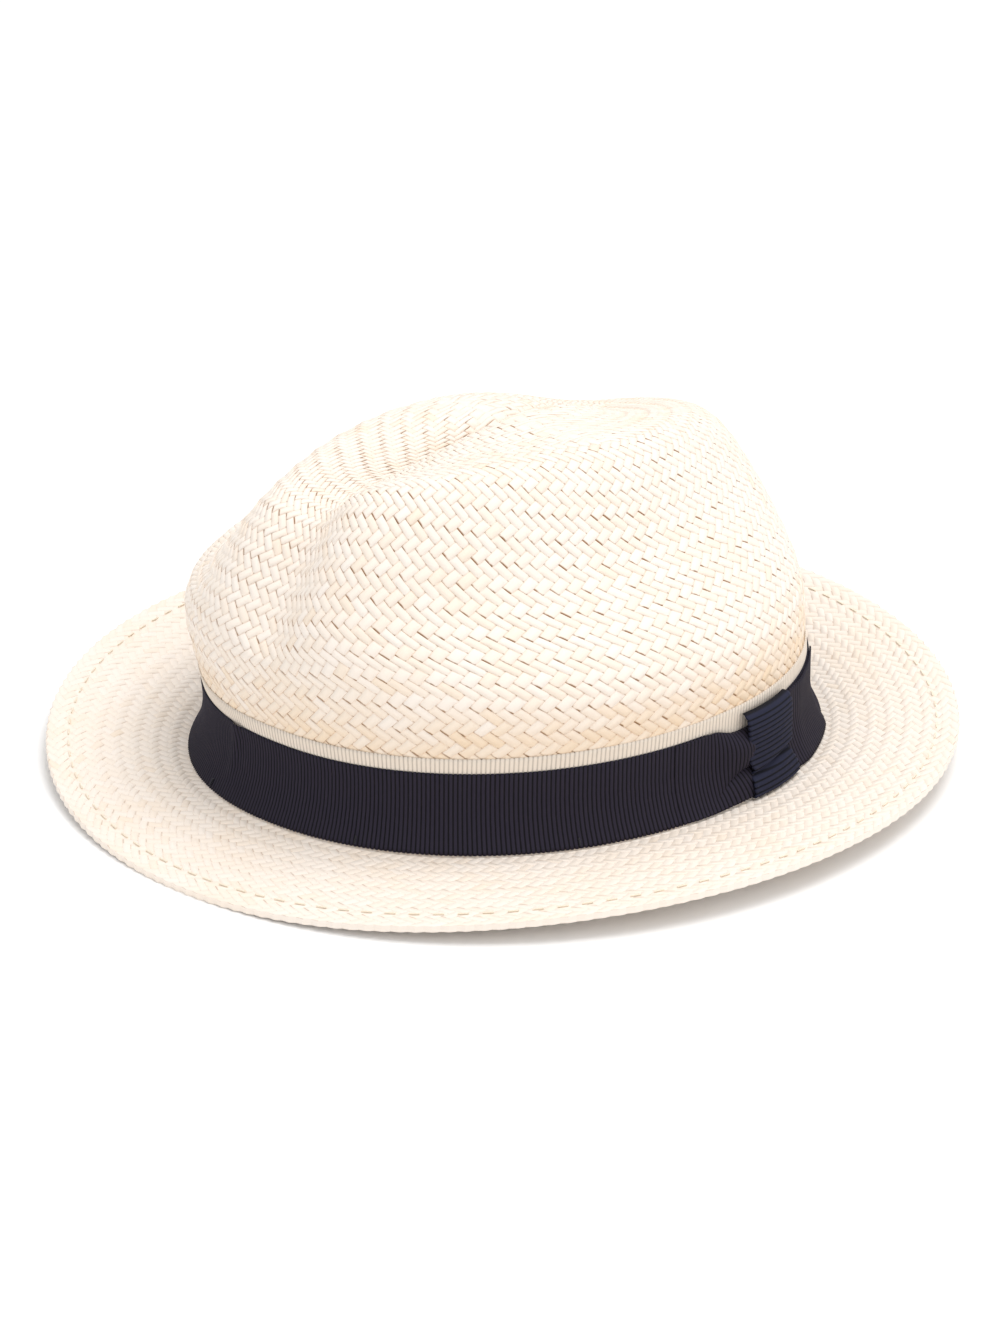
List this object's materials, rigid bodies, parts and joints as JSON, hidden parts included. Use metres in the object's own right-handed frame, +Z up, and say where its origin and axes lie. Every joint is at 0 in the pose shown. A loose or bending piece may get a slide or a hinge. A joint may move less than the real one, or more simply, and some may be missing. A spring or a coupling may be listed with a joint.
{
  "type": "fedora hat",
  "caption": "Woven straw fedora with a pinched teardrop crown, short snapped brim, navy grosgrain hatband with side bow over a cream ribbon, and an inner sweatband.",
  "frame": {"origin": "on the ground, under the middle of the brim's box", "axes": "+Z up, the wearer faces -Y, the wearer's left is +X"},
  "size_m": [0.2774, 0.287, 0.1127],
  "materials": {
    "straw": "satin",
    "navy_ribbon": "satin",
    "cream_ribbon": "satin",
    "sweatband_cloth": "matte",
    "reed_plastic": "satin",
    "reed_tape_cloth": "matte",
    "label_satin": "satin",
    "pale_thread": "matte",
    "navy_thread": "matte"
  },
  "bodies": {
    "root": {"straw_hood": "straw", "brim_hem_stitches": "pale_thread", "hatband_underlay": "cream_ribbon", "hatband": "navy_ribbon", "hatband_tacks": "navy_thread", "bow_front_wing": "navy_ribbon", "bow_rear_wing": "navy_ribbon", "bow_keeper": "navy_ribbon", "sweatband": "sweatband_cloth", "sweatband_reed": "reed_plastic", "reed_tape": "reed_tape_cloth", "sweatband_stitches": "pale_thread", "sweatband_back_stitches": "pale_thread", "size_label": "label_satin"}
  },
  "joints": []
}
